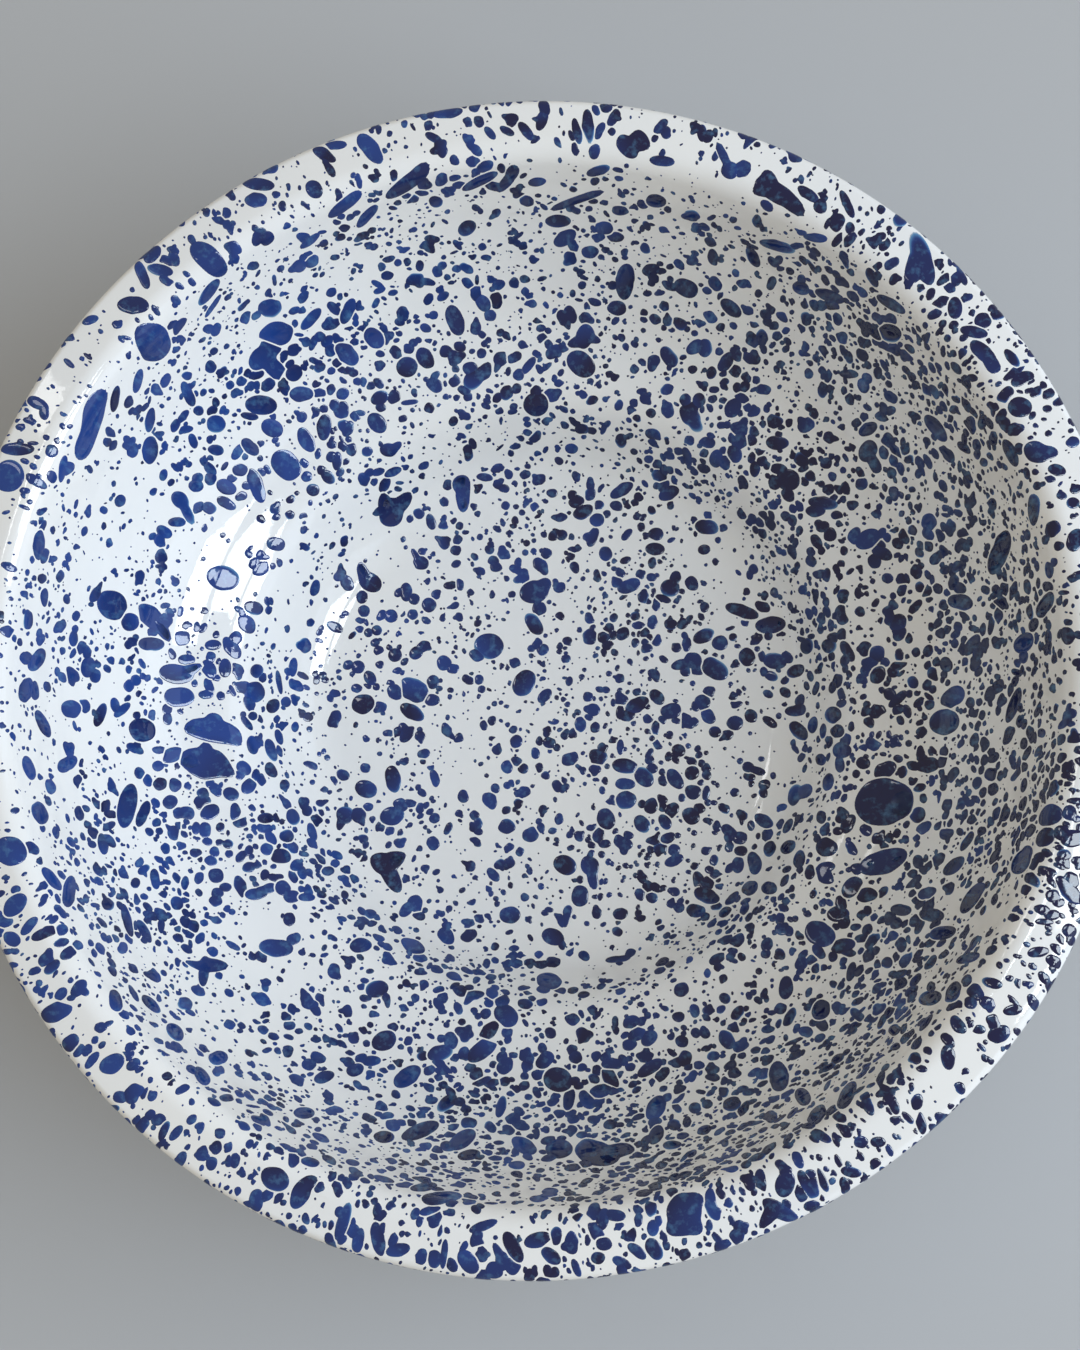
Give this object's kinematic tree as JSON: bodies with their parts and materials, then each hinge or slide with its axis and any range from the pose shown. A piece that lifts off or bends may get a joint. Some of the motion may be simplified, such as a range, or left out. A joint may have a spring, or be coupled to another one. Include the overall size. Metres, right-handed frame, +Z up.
{
  "type": "salad bowl",
  "caption": "Wide enamelled steel salad bowl with a stepped foot, a flat rim with a rolled bead and a splatter finish, for tossing and serving food.",
  "frame": {"origin": "middle of the flat underside that the bowl stands on", "axes": "+Z up along the bowl's axis, X and Y in the plane of the table"},
  "size_m": [0.3498, 0.3498, 0.0972],
  "materials": {
    "steel": "bare pressed low-carbon steel, wholly covered",
    "ground_enamel": "dark blue-black ground enamel",
    "cream_enamel": "glossy cream enamel with navy splatter drops fused into it"
  },
  "bodies": {
    "root": {"steel_shell": "steel", "ground_coat_inside": "ground_enamel", "ground_coat_outside": "ground_enamel", "cover_coat_inside": "cream_enamel", "cover_coat_outside": "cream_enamel"}
  },
  "joints": []
}
